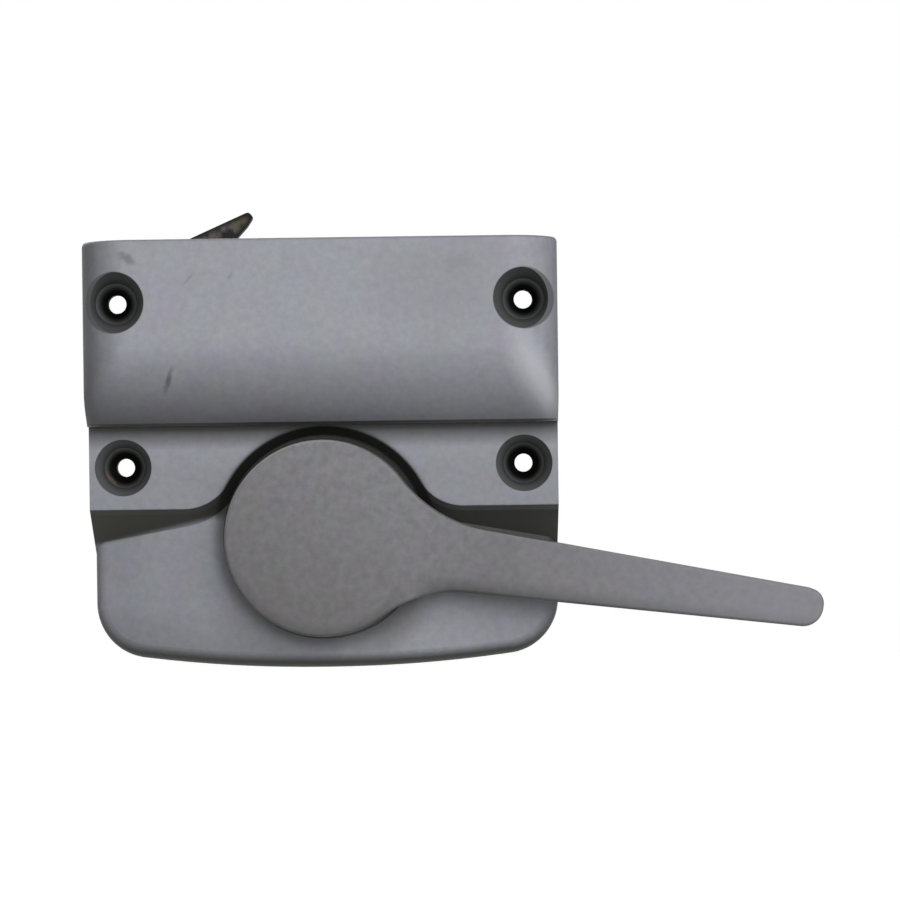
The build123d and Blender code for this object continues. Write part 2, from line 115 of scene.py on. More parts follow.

# Screw holes: outer and inner radius of the painted shade in their mouths and of the black painted shade
# in their seats
SCREW_X = 0.02975
SCREW_Z = 0.012
UPPER_MOUTH = (0.0046, 0.0044)
LOWER_MOUTH = (0.0043, 0.0041)
UPPER_SEAT = (0.0039, 0.0019)
LOWER_SEAT = (0.0039, 0.0021)

# Metallic paint darkens where it turns away: at which facing this starts and ends, and how far it goes
FLOP_FACING = (0.25, 0.6)
FLOP = 0.35

# Skin and gloss of the paint, and the painted shade in its corners: how far it reaches and how dark it is
GLOSS_RANGE = (0.2, 0.8)
PAINT_GLOSS = (0.5, 0.6)
PAINT_SPECULAR = 0.25
PAINT_PEEL = 0.05
PEEL_DEPTH = 0.0002
CORNER_SAMPLES = 8
CORNER_OPEN = (0.4, 0.85)
HOUSING_CORNER = (0.0016, 0.8)
HANDLE_CORNER = (0.0012, 0.5)

# Unevenness of the paint: how far its lightness, specks and hue wander
NOISE_RANGE = (0.3, 0.7)
TINT_RANGE = (0.35, 0.65)
WARM = (1.0, 0.99, 0.98)
COOL = (0.98, 0.99, 1.0)
SPECK_SHADE = 0.06
SPECK_SHARE = 0.4
SPECK_HEIGHT = 0.4
HOUSING_MOTTLE = 0.11
HANDLE_MOTTLE = 0.24
HUE_DRIFT = 0.16

# Painted light and shade on the lever: shade low on the hub, at the arm's root, along the arm's lower edge
# and round the hub's edge; lighter towards the tip; a highlight on the hub's upper left rim
HUB_SHADE_DIRECTION = (0.5, 0.866)
HUB_SHADE_SPAN = (-0.036, -0.008)
HUB_SHADE_STRENGTH = 0.62
HUB_SHADE_TONE = (0.07, 0.062, 0.055)
ARM_TIP_LIGHT_X = (0.022, 0.065)
ARM_TIP_LIGHT = 0.36
ARM_TIP_LIGHT_TONE = (0.31, 0.31, 0.355)
ARM_ROOT_X = (0.014, 0.026)
ARM_ROOT_SHADE = 0.28
ARM_EDGE_LINE = (0.1118, 0.9937, 0.02832)
ARM_EDGE_X = (0.03, 0.08)
ARM_EDGE_WIDTH = (0.0036, 0.0018)
ARM_EDGE_START_X = (0.0125, 0.019)
ARM_EDGE_SHADE = 0.95
HUB_EDGE = (0.0122, 0.0144)
HUB_EDGE_Z = (-0.024, -0.031)
HUB_EDGE_X = (0.008, 0.0125)
HUB_EDGE_SHADE = 0.45
RIM_FRONT_Y = -0.0174
RIM_DIRECTION = (-0.6, 0.8)
RIM_FACING = (0.3, 0.75)
RIM_HIGHLIGHT = 0.55
RIM_HIGHLIGHT_TONE = (0.5, 0.49, 0.48)

# Zinc plate: range of its tone, its dark specks, gloss and skin
PLATE_GRAIN = {"Speck_scale": 2200.0, "Mottle_scale": 420.0}
PLATE_BLOTCH = (0.35, 0.65)
PLATE_SHADE = (0.85, 1.15)
PLATE_SPECK = (0.55, 0.75)
PLATE_SPECK_SHARE = 0.6
PLATE_SPECK_SHADE = 0.51
PLATE_GLOSS = (0.38, 0.62)
PLATE_SKIN = 0.15
PLATE_METALLIC = 0.9

# Browned steel of the hook: its blotches, how far the burnt edge reaches in, its gloss and skin
BROWN_GRAIN = {"Speck_scale": 1500.0, "Mottle_scale": 550.0, "Tint_scale": 380.0}
BROWN_RANGE = (0.4, 0.6)
BROWN_SHARE = 0.5
BROWN_GLOSS = (0.45, 0.65)
BROWN_SKIN = 0.2
BROWN_SPECULAR = 0.08
BURNT_BLOTCH = (0.42, 0.62)
BURNT_INSIDE = (0.6, 0.97)
BURNT_SHARE = 0.95
BROWN_TONE = (0.1, 0.085, 0.06)
VIOLET_TONE = (0.15, 0.135, 0.15)
BURNT_TONE = (0.006, 0.0055, 0.0045)
BURNT_EDGE = 0.001

# Marks of use, a painted highlight and a painted shadow: centre, turn, half length, half width,
# raggedness, colour and strength
HOUSING_MARKS = (
    ((-0.0276, 0.0, 0.0183), -0.55, 0.002, 0.0009, 0.35, (0.12, 0.12, 0.115), 0.6),
    ((-0.0220, 0.0, 0.0006), 1.25, 0.0024, 0.0005, 0.3, (0.085, 0.085, 0.1), 0.75),
    ((-0.0188, 0.0, 0.0152), 0.8, 0.0015, 0.0003, 0.4, (0.15, 0.15, 0.15), 0.4),
    ((-0.0127, 0.0, 0.0157), 1.1, 0.0009, 0.0003, 0.4, (0.16, 0.16, 0.16), 0.35),
    ((0.0205, 0.0, 0.0171), 0.1, 0.0034, 0.0016, 0.6, (0.19, 0.19, 0.2), 0.3),
    # a faint darkening over the right half of the block
    ((0.0185, 0.0, 0.0145), 0.1, 0.015, 0.010, 0.2, (0.2, 0.2, 0.21), 0.3),
    # painted highlight up the lower right corner of the block, where the end roll meets the bottom roll
    ((0.0319, 0.0, -0.0004), 2.0, 0.0108, 0.0038, 0.1, (0.52, 0.52, 0.56), 0.56),
)
PANEL_SHADOW_MARKS = (
    # painted shadow of the hub on the panel below its lower right
    ((0.0106, 0.0, -0.0342), 0.7, 0.009, 0.0046, 0.0, (0.05, 0.05, 0.048), 0.55),
)
BORE_MARKS = (
    ((-0.0321, 0.0, -0.0134), 2.3, 0.0018, 0.0004, 0.4, (0.09, 0.065, 0.045), 0.6),
)
MARK_FRONT_Y = -0.012
PANEL_MARK_FRONT_Y = -0.004
HANDLE_MARKS = (
    ((-0.0141, 0.0, -0.0192), 1.3, 0.0006, 0.00025, 0.5, (0.5, 0.48, 0.45), 0.7),
)
MARK_RAGGED_SCALE = 1500.0
MARK_RAGGED_DETAIL = 3.0
MARK_RAGGED_SWING = 3.0
MARK_SHARPNESS = 1.5

# Stage: lamps with their place, size and the setting of their power, the floor and the camera
LAMPS = (
    ("key_lamp", (0.53, -1.05, 0.44), 0.9, "key_power"),
    ("front_lamp", (0.05, -1.2, 0.08), 0.6, "front_power"),
    ("back_lamp", (-0.25, 0.5, 0.3), 0.5, "back_power"),
)
FLOOR_RADIUS = 1.0
FLOOR_SIDES = 64
FLOOR_ROUGHNESS = 0.9
FLOOR_SPECULAR = 0.1
FLOOR_LIT = (0.15, 0.15, 0.15)
FLOOR_SEEN = (0.8, 0.8, 0.8)
FLOOR_GLOW = (0.85, 0.85, 0.85)
BLACK = (0.0, 0.0, 0.0)
WHITE = (1.0, 1.0, 1.0)
SENSOR_WIDTH = 36.0
CLIP_START = 0.01


class PaintSettings(bpy.types.PropertyGroup):
    """Colours and finish of the painted castings and the steel"""

    housing_colour: bpy.props.FloatVectorProperty(
        name="Housing paint",
        description="Colour of the satin metallic paint on the housing",
        subtype="COLOR",
        size=3,
        min=0.0,
        max=1.0,
        default=(0.325, 0.331, 0.369),
    )
    handle_colour: bpy.props.FloatVectorProperty(
        name="Handle paint",
        description="Colour of the handled paint on the lever",
        subtype="COLOR",
        size=3,
        min=0.0,
        max=1.0,
        default=(0.197, 0.196, 0.211),
    )
    hook_colour: bpy.props.FloatVectorProperty(
        name="Hook steel",
        description="Colour of the browned steel of the hook",
        subtype="COLOR",
        size=3,
        min=0.0,
        max=1.0,
        default=(0.07, 0.06, 0.05),
    )
    plate_colour: bpy.props.FloatVectorProperty(
        name="Zinc plate",
        description="Colour of the dull plating on the crank, link and pins",
        subtype="COLOR",
        size=3,
        min=0.0,
        max=1.0,
        default=(0.45, 0.44, 0.41),
    )
    grain_size: bpy.props.FloatProperty(
        name="Grain size",
        description="Size of one speck of the paint's metallic grain",
        subtype="DISTANCE",
        unit="LENGTH",
        min=0.00005,
        max=0.002,
        default=0.0003,
    )


class StageSettings(bpy.types.PropertyGroup):
    """Camera, floor and light"""

    camera_distance: bpy.props.FloatProperty(
        name="Camera distance",
        description="Distance of the camera from the mounting plane",
        subtype="DISTANCE",
        unit="LENGTH",
        min=0.1,
        max=5.0,
        default=0.405,
    )
    camera_x: bpy.props.FloatProperty(
        name="Camera across",
        description="Place of the camera to the right of the screw pattern's middle",
        subtype="DISTANCE",
        unit="LENGTH",
        default=0.01877,
    )
    camera_z: bpy.props.FloatProperty(
        name="Camera height",
        description="Place of the camera above the screw pattern's middle",
        subtype="DISTANCE",
        unit="LENGTH",
        default=-0.00996,
    )
    camera_roll: bpy.props.FloatProperty(
        name="Camera roll",
        description="How far the camera leans to one side",
        subtype="ANGLE",
        unit="ROTATION",
        default=math.radians(0.75),
    )
    view_width: bpy.props.FloatProperty(
        name="View width",
        description="Width of the picture at the mounting plane",
        subtype="DISTANCE",
        unit="LENGTH",
        min=0.02,
        max=2.0,
        default=0.13727,
    )
    floor_drop: bpy.props.FloatProperty(
        name="Floor drop",
        description="How far the floor lies below the screw pattern's middle, clear of the lowered lever",
        subtype="DISTANCE",
        unit="LENGTH",
        min=0.05,
        max=1.0,
        default=0.115,
    )
    key_power: bpy.props.FloatProperty(
        name="Key light",
        description="Power of the large soft box above and to the right of the camera",
        subtype="POWER",
        unit="POWER",
        min=0.0,
        max=100.0,
        default=10.0,
    )
    front_power: bpy.props.FloatProperty(
        name="Front light",
        description="Power of the lamp beside the camera, which fills the shadows",
        subtype="POWER",
        unit="POWER",
        min=0.0,
        max=100.0,
        default=6.6,
    )
    back_power: bpy.props.FloatProperty(
        name="Back light",
        description="Power of the lamp behind the lock, which lights its open back",
        subtype="POWER",
        unit="POWER",
        min=0.0,
        max=100.0,
        default=2.0,
    )
    ambient: bpy.props.FloatProperty(
        name="Ambient",
        description="Strength of the even light from all round",
        min=0.0,
        max=1.0,
        default=0.09,
    )


def add_node(tree, kind, place, **values):
    """A node of a kind at a place, with its named settings."""
    node = tree.nodes.new(kind)
    node.location = place
    for name, value in values.items():
        setattr(node, name, value)
    return node


def math_node(tree, operation, place, first=None, second=None, clamp=False):
    """A Math node whose inputs are sockets or numbers."""
    node = add_node(tree, "ShaderNodeMath", place, operation=operation, use_clamp=clamp)
    for socket, value in zip(node.inputs, (first, second)):
        if value is None:
            continue
        if isinstance(value, (int, float)):
            socket.default_value = value
        else:
            tree.links.new(value, socket)
    return node.outputs[0]


def new_group(name, inputs, outputs):
    """An empty shader node group; inputs are (name, type, default) and outputs (name, type)."""
    tree = bpy.data.node_groups.new(name, "ShaderNodeTree")
    for label, kind, default in inputs:
        socket = tree.interface.new_socket(label, in_out="INPUT", socket_type=kind)
        if default is not None:
            socket.default_value = default
    for label, kind in outputs:
        tree.interface.new_socket(label, in_out="OUTPUT", socket_type=kind)
    entry = add_node(tree, "NodeGroupInput", (-1200, 0))
    leave = add_node(tree, "NodeGroupOutput", (900, 0))
    return tree, entry, leave


def grain_group():
    """Metallic paint: fine specks, a soft mottle, slow changes of tint and a faint orange peel."""
    name = "paint_grain"
    if name in bpy.data.node_groups:
        return bpy.data.node_groups[name]
    tree, entry, leave = new_group(
        name,
        [
            ("Place", "NodeSocketVector", None),
            ("Speck scale", "NodeSocketFloat", 3300.0),
            ("Mottle scale", "NodeSocketFloat", 900.0),
            ("Tint scale", "NodeSocketFloat", 260.0),
        ],
        [
            ("Speck", "NodeSocketFloat"),
            ("Mottle", "NodeSocketFloat"),
            ("Tint", "NodeSocketFloat"),
            ("Hue", "NodeSocketColor"),
            ("Height", "NodeSocketFloat"),
        ],
    )
    layers = (("Speck", 200, 2.0, 0.6), ("Mottle", -100, 2.5, 0.55), ("Tint", -400, 2.0, 0.5))
    noises = {}
    for label, drop, detail, roughness in layers:
        noise = add_node(tree, "ShaderNodeTexNoise", (-800, drop))
        noise.inputs["Detail"].default_value = detail
        noise.inputs["Roughness"].default_value = roughness
        tree.links.new(entry.outputs["Place"], noise.inputs["Vector"])
        tree.links.new(entry.outputs[label + " scale"], noise.inputs["Scale"])
        tree.links.new(noise.outputs["Fac"], leave.inputs[label])
        noises[label] = noise.outputs
    tree.links.new(noises["Tint"]["Color"], leave.inputs["Hue"])
    fine = math_node(tree, "MULTIPLY", (-400, -200), noises["Speck"]["Fac"], SPECK_HEIGHT)
    height = math_node(tree, "ADD", (-200, -300), fine, noises["Mottle"]["Fac"])
    tree.links.new(height, leave.inputs["Height"])
    return tree


def mark_group():
    """One rubbed or scraped mark, painted highlight or painted shadow on a front face: an uneven oval at a
    place, turned by an angle.
    """
    name = "surface_mark"
    if name in bpy.data.node_groups:
        return bpy.data.node_groups[name]
    tree, entry, leave = new_group(
        name,
        [
            ("Place", "NodeSocketVector", None),
            ("Centre", "NodeSocketVector", (0.0, 0.0, 0.0)),
            ("Turn", "NodeSocketFloat", 0.0),
            ("Half length", "NodeSocketFloat", 0.002),
            ("Half width", "NodeSocketFloat", 0.0005),
            ("Ragged", "NodeSocketFloat", 0.5),
            ("Front", "NodeSocketFloat", MARK_FRONT_Y),
        ],
        [("Mask", "NodeSocketFloat")],
    )
    offset = add_node(tree, "ShaderNodeVectorMath", (-1000, 200), operation="SUBTRACT")
    tree.links.new(entry.outputs["Place"], offset.inputs[0])
    tree.links.new(entry.outputs["Centre"], offset.inputs[1])
    turn = add_node(tree, "ShaderNodeVectorRotate", (-800, 200), rotation_type="Y_AXIS")
    tree.links.new(offset.outputs["Vector"], turn.inputs["Vector"])
    tree.links.new(entry.outputs["Turn"], turn.inputs["Angle"])
    parts = add_node(tree, "ShaderNodeSeparateXYZ", (-600, 200))
    tree.links.new(turn.outputs["Vector"], parts.inputs["Vector"])
    along = math_node(tree, "DIVIDE", (-400, 300), parts.outputs["X"], entry.outputs["Half length"])
    across = math_node(tree, "DIVIDE", (-400, 100), parts.outputs["Z"], entry.outputs["Half width"])
    along_sq = math_node(tree, "MULTIPLY", (-200, 300), along, along)
    across_sq = math_node(tree, "MULTIPLY", (-200, 100), across, across)
    total = math_node(tree, "ADD", (0, 200), along_sq, across_sq)
    root = math_node(tree, "SQRT", (150, 200), total)
    rough = add_node(tree, "ShaderNodeTexNoise", (-400, -200))
    rough.inputs["Scale"].default_value = MARK_RAGGED_SCALE
    rough.inputs["Detail"].default_value = MARK_RAGGED_DETAIL
    tree.links.new(entry.outputs["Place"], rough.inputs["Vector"])
    centred = math_node(tree, "SUBTRACT", (-200, -200), rough.outputs["Fac"], 0.5)
    ragged = math_node(tree, "MULTIPLY", (0, -200), centred, entry.outputs["Ragged"])
    swing = math_node(tree, "MULTIPLY", (150, -200), ragged, MARK_RAGGED_SWING)
    edge = math_node(tree, "ADD", (300, 100), root, swing)
    inside = math_node(tree, "SUBTRACT", (450, 100), 1.0, edge, clamp=True)
    sharper = math_node(tree, "MULTIPLY", (600, 100), inside, MARK_SHARPNESS, clamp=True)
    where = add_node(tree, "ShaderNodeSeparateXYZ", (150, -400))
    tree.links.new(entry.outputs["Place"], where.inputs["Vector"])
    on_front = math_node(tree, "LESS_THAN", (450, -300), where.outputs["Y"], entry.outputs["Front"])
    mask = math_node(tree, "MULTIPLY", (750, 0), sharper, on_front)
    tree.links.new(mask, leave.inputs["Mask"])
    return tree


def bore_group():
    """How far a point lies inside a round hole whose axis runs front to back."""
    name = "bore_soil"
    if name in bpy.data.node_groups:
        return bpy.data.node_groups[name]
    tree, entry, leave = new_group(
        name,
        [
            ("Place", "NodeSocketVector", None),
            ("Centre", "NodeSocketVector", (0.0, 0.0, 0.0)),
            ("Outer radius", "NodeSocketFloat", 0.0043),
            ("Inner radius", "NodeSocketFloat", 0.0034),
        ],
        [("Mask", "NodeSocketFloat")],
    )
    offset = add_node(tree, "ShaderNodeVectorMath", (-900, 200), operation="SUBTRACT")
    tree.links.new(entry.outputs["Place"], offset.inputs[0])
    tree.links.new(entry.outputs["Centre"], offset.inputs[1])
    flat = add_node(tree, "ShaderNodeVectorMath", (-700, 200), operation="MULTIPLY")
    flat.inputs[1].default_value = (1.0, 0.0, 1.0)
    tree.links.new(offset.outputs["Vector"], flat.inputs[0])
    radius = add_node(tree, "ShaderNodeVectorMath", (-500, 200), operation="LENGTH")
    tree.links.new(flat.outputs["Vector"], radius.inputs[0])
    edge = add_node(tree, "ShaderNodeMapRange", (-200, 100), interpolation_type="SMOOTHSTEP")
    tree.links.new(radius.outputs["Value"], edge.inputs["Value"])
    tree.links.new(entry.outputs["Outer radius"], edge.inputs["From Min"])
    tree.links.new(entry.outputs["Inner radius"], edge.inputs["From Max"])
    tree.links.new(edge.outputs["Result"], leave.inputs["Mask"])
    return tree


def place_group(tree, group, place, **values):
    """A node group in a material, with its input numbers set."""
    node = add_node(tree, "ShaderNodeGroup", place, node_tree=group)
    for label, value in values.items():
        node.inputs[label.replace("_", " ")].default_value = value
    return node


def mix_colour(tree, place, factor, first, second, blend="MIX"):
    """A colour mix whose factor and colours are sockets or values."""
    node = add_node(tree, "ShaderNodeMix", place, data_type="RGBA", blend_type=blend)
    for label, value in (("Factor", factor), ("A", first), ("B", second)):
        socket = node.inputs[label]
        if hasattr(value, "is_linked"):
            tree.links.new(value, socket)
        elif isinstance(value, (int, float)):
            socket.default_value = value
        else:
            socket.default_value = (*value, 1.0)
    return node.outputs["Result"]


def span(tree, place, value, low, high, to_low=0.0, to_high=1.0):
    """Remaps a value from one range to another, clamped."""
    node = add_node(tree, "ShaderNodeMapRange", place)
    tree.links.new(value, node.inputs["Value"])
    node.inputs["From Min"].default_value = low
    node.inputs["From Max"].default_value = high
    node.inputs["To Min"].default_value = to_low
    node.inputs["To Max"].default_value = to_high
    return node.outputs["Result"]


def shade(colour, factor):
    """A colour made darker or lighter."""
    return tuple(min(1.0, channel * factor) for channel in colour)


def fresh_material(name):
    """A material with an empty node tree but for its shader and output."""
    material = bpy.data.materials.new(name)
    material.use_nodes = True
    tree = material.node_tree
    tree.nodes.clear()
    shader = add_node(tree, "ShaderNodeBsdfPrincipled", (600, 0))
    output = add_node(tree, "ShaderNodeOutputMaterial", (900, 0))
    tree.links.new(shader.outputs["BSDF"], output.inputs["Surface"])
    place = add_node(tree, "ShaderNodeTexCoord", (-1600, 0)).outputs["Object"]
    return material, tree, shader, place


def separate(tree, vector, place):
    """The three parts of a vector."""
    node = add_node(tree, "ShaderNodeSeparateXYZ", place)
    tree.links.new(vector, node.inputs["Vector"])
    return node.outputs


def paint_base(tree, place, colour, grain_size, uneven):
    """Colour of satin metallic paint before use: specks, mottle and a slight drift of hue."""
    grain = place_group(tree, grain_group(), (-1300, 400), Speck_scale=1.0 / grain_size)
    tree.links.new(place, grain.inputs["Place"])
    mottle = span(tree, (-1050, 500), grain.outputs["Mottle"], *NOISE_RANGE)
    dark = shade(colour, 1.0 - uneven)
    light = shade(colour, 1.0 + uneven)
    base = mix_colour(tree, (-850, 500), mottle, dark, light)
    speck = span(tree, (-1050, 250), grain.outputs["Speck"], *NOISE_RANGE)
    dark = shade(colour, 1.0 - SPECK_SHADE)
    light = shade(colour, 1.0 + SPECK_SHADE)
    flecked = mix_colour(tree, (-850, 250), speck, dark, light)
    base = mix_colour(tree, (-650, 400), SPECK_SHARE, base, flecked)
    tint = span(tree, (-1050, 0), grain.outputs["Tint"], *TINT_RANGE)
    drift = mix_colour(tree, (-650, 100), tint, WARM, COOL)
    drift = mix_colour(tree, (-550, 0), HUE_DRIFT, drift, grain.outputs["Hue"])
    return grain, mix_colour(tree, (-450, 300), 1.0, base, drift, "MULTIPLY")


def lay_marks(tree, place, base, marks, front=MARK_FRONT_Y):
    """Scrapes, smudges, chips, painted highlights and painted shadows laid over the paint on faces in
    front of a depth.
    """
    for number, (centre, turn, half_length, half_width, ragged, tone, strength) in enumerate(marks):
        level = -600 - 250 * number
        mark = place_group(tree, mark_group(), (-1300, level))
        tree.links.new(place, mark.inputs["Place"])
        mark.inputs["Centre"].default_value = centre
        mark.inputs["Turn"].default_value = turn
        mark.inputs["Half length"].default_value = half_length
        mark.inputs["Half width"].default_value = half_width
        mark.inputs["Ragged"].default_value = ragged
        mark.inputs["Front"].default_value = front
        weight = math_node(tree, "MULTIPLY", (-900, level), mark.outputs["Mask"], strength)
        base = mix_colour(tree, (-700, level), weight, base, tone)
    return base


def shade_corners(tree, base, reach, strength):
    """Painted shade where faces meet."""
    corner = add_node(tree, "ShaderNodeAmbientOcclusion", (-250, -300), only_local=True)
    corner.samples = CORNER_SAMPLES
    corner.inputs["Distance"].default_value = reach
    painted_dark = span(tree, (-50, -300), corner.outputs["AO"], *CORNER_OPEN, strength, 0.0)
    return mix_colour(tree, (150, 200), painted_dark, base, PAINTED_SHADE)


def add_skin(tree, shader, grain, place, strength):
    """The faint unevenness of a coat or a rolled sheet, as bump."""
    bump = add_node(tree, "ShaderNodeBump", place)
    bump.inputs["Strength"].default_value = strength
    bump.inputs["Distance"].default_value = PEEL_DEPTH
    tree.links.new(grain.outputs["Height"], bump.inputs["Height"])
    tree.links.new(bump.outputs["Normal"], shader.inputs["Normal"])


def finish_paint(tree, shader, base, grain):
    """Feeds the paint's colour, gloss and skin to the shader, darker where the paint turns away."""
    turned = add_node(tree, "ShaderNodeLayerWeight", (-50, 500)).outputs["Facing"]
    flop = span(tree, (150, 500), turned, *FLOP_FACING, 0.0, FLOP)
    base = mix_colour(tree, (350, 300), flop, base, PAINTED_SHADE)
    tree.links.new(base, shader.inputs["Base Color"])
    gloss = span(tree, (200, -150), grain.outputs["Speck"], *GLOSS_RANGE, *PAINT_GLOSS)
    tree.links.new(gloss, shader.inputs["Roughness"])
    add_skin(tree, shader, grain, (350, -350), PAINT_PEEL)
    shader.inputs["Specular IOR Level"].default_value = PAINT_SPECULAR


def round_mask(tree, place, level, centre, radii):
    """One within the second radius of an axis that runs front to back, nought beyond the first."""
    node = place_group(tree, bore_group(), (-1300, level))
    tree.links.new(place, node.inputs["Place"])
    node.inputs["Centre"].default_value = centre
    node.inputs["Outer radius"].default_value = radii[0]
    node.inputs["Inner radius"].default_value = radii[1]
    return node.outputs["Mask"]


def shade_block(tree, spot, base):
    """Painted shade low on the roll and at the left end of the upper block, where they turn away from the
    light.
    """
    on_block = math_node(tree, "LESS_THAN", (-1300, 1400), spot["Y"], BLOCK_FOOT_Y)
    roll = span(tree, (-1100, 1400), spot["Z"], *ROLL_SHADE_Z, 0.0, ROLL_SHADE)
    roll = math_node(tree, "MULTIPLY", (-900, 1400), roll, on_block)
    sideways = span(tree, (-1100, 1250), spot["X"], *ROLL_SHADE_X, *ROLL_SHADE_ACROSS)
    roll = math_node(tree, "MULTIPLY", (-850, 1350), roll, sideways)
    above_corner = math_node(tree, "SUBTRACT", (-1500, 1300), spot["Z"], ROLL_CORNER[1])
    reach = math_node(tree, "MULTIPLY", (-1400, 1300), above_corner, ROLL_CORNER_FALL)
    past_corner = math_node(tree, "SUBTRACT", (-1500, 1150), spot["X"], ROLL_CORNER[0])
    past_corner = math_node(tree, "ADD", (-1350, 1200), past_corner, reach)
    clear = span(tree, (-1200, 1150), past_corner, *ROLL_CORNER_SPAN, 1.0, 0.0)
    roll = math_node(tree, "MULTIPLY", (-800, 1300), roll, clear)
    base = mix_colour(tree, (-700, 1400), roll, base, PAINTED_SHADE)
    end = span(tree, (-1100, 1100), spot["X"], *END_SHADE_X, 0.0, END_SHADE)
    end = math_node(tree, "MULTIPLY", (-900, 1100), end, on_block)
    high_end = span(tree, (-1100, 1000), spot["Z"], *END_SHADE_Z, *END_SHADE_SHARE)
    end = math_node(tree, "MULTIPLY", (-800, 1050), end, high_end)
    return mix_colour(tree, (-700, 1100), end, base, PAINTED_SHADE)


def shade_lower_half(tree, spot, base):
    """Painted shade on the band and the panel, darkest in the crease under the block."""
    below = math_node(tree, "LESS_THAN", (-1300, 900), spot["Z"], BLOCK_FOOT_Z)
    crease = span(tree, (-1100, 900), spot["Z"], *CREASE_SHADE_Z, 0.0, CREASE_SHADE)
    crease = math_node(tree, "MULTIPLY", (-900, 900), crease, below)
    off_block = math_node(tree, "GREATER_THAN", (-1300, 750), spot["Y"], BLOCK_FOOT_Y)
    crease = math_node(tree, "MULTIPLY", (-800, 850), crease, off_block)
    base = mix_colour(tree, (-700, 900), crease, base, PAINTED_SHADE)
    band = span(tree, (-1100, 700), spot["Z"], *BAND_SHADE_Z, 0.0, BAND_SHADE)
    band_end = span(tree, (-1100, 600), spot["Z"], *BAND_END_Z, 1.0, 0.0)
    band = math_node(tree, "MULTIPLY", (-900, 700), band, band_end)
    base = mix_colour(tree, (-700, 700), band, base, PAINTED_SHADE)
    # painted shade on the panel's left side, low down, and on its rim where it faces down
    on_panel = math_node(tree, "LESS_THAN", (-1100, 150), spot["Z"], PANEL_TOP_Z)
    panel = span(tree, (-1100, 500), spot["X"], *PANEL_SHADE_X, 0.0, PANEL_SHADE)
    panel = math_node(tree, "MULTIPLY", (-900, 500), panel, on_panel)
    base = mix_colour(tree, (-700, 500), panel, base, PAINTED_SHADE)
    foot = span(tree, (-1100, 400), spot["Z"], *PANEL_FOOT_Z, 0.0, PANEL_FOOT_SHADE)
    sideways = span(tree, (-1100, 250), spot["X"], *PANEL_FOOT_X, *PANEL_FOOT_SHARE)
    foot = math_node(tree, "MULTIPLY", (-900, 400), foot, sideways)
    base = mix_colour(tree, (-700, 400), foot, base, PAINTED_SHADE)
    normal = add_node(tree, "ShaderNodeNewGeometry", (-1600, 300)).outputs["Normal"]
    downward = separate(tree, normal, (-1400, 300))["Z"]
    edge = span(tree, (-1100, 300), downward, *PANEL_EDGE_FACING, 0.0, PANEL_EDGE_SHADE)
    on_rim = math_node(tree, "LESS_THAN", (-1100, 0), spot["Z"], PANEL_RIM_Z)
    edge = math_node(tree, "MULTIPLY", (-900, 300), edge, on_rim)
    return mix_colour(tree, (-700, 300), edge, base, PAINTED_SHADE)


